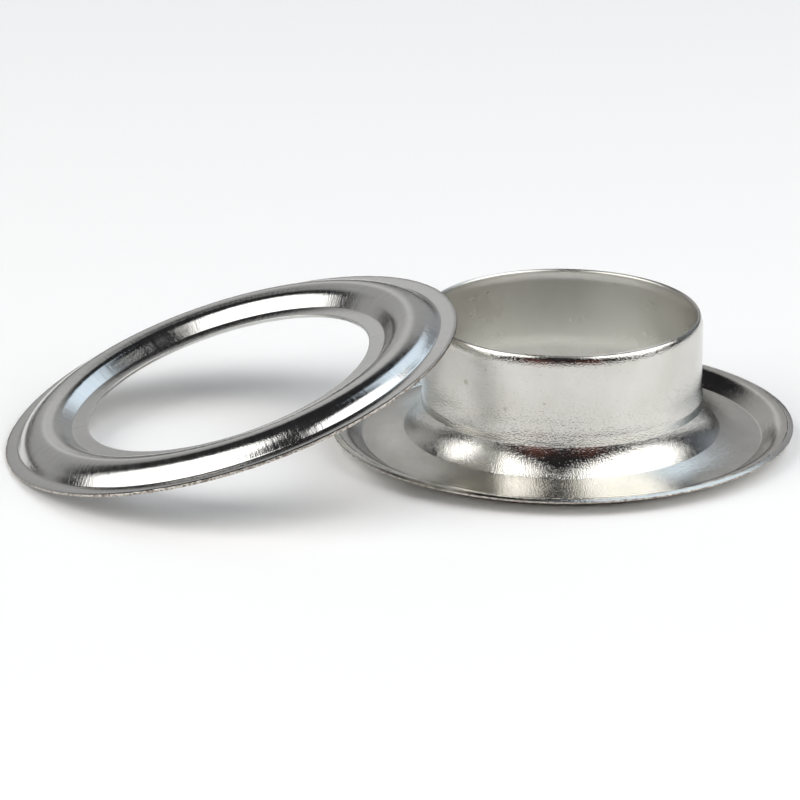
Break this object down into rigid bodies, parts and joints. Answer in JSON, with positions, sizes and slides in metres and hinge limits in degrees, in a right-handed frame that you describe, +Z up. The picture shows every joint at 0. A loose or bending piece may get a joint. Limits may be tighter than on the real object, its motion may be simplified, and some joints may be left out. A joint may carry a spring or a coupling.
{
  "type": "grommet eyelet",
  "caption": "Unset sheet-metal grommet: a flanged tubular eyelet standing on its show face, with its beaded washer leaning on the lip.",
  "frame": {"origin": "middle of the pair's box, on the table", "axes": "+Z up along the eyelet's axis, +X through both centres, from the washer to the eyelet"},
  "size_m": [0.0736, 0.0436, 0.0136],
  "materials": {
    "eyelet_plating": "bright nickel plating on drawn steel sheet, with a fine orange-peel grain where it was drawn",
    "washer_plating": "bright nickel plating on stamped steel sheet, with faint radial draw lines on the bead"
  },
  "bodies": {
    "root": {"eyelet": "eyelet_plating", "washer": "washer_plating"}
  },
  "joints": []
}
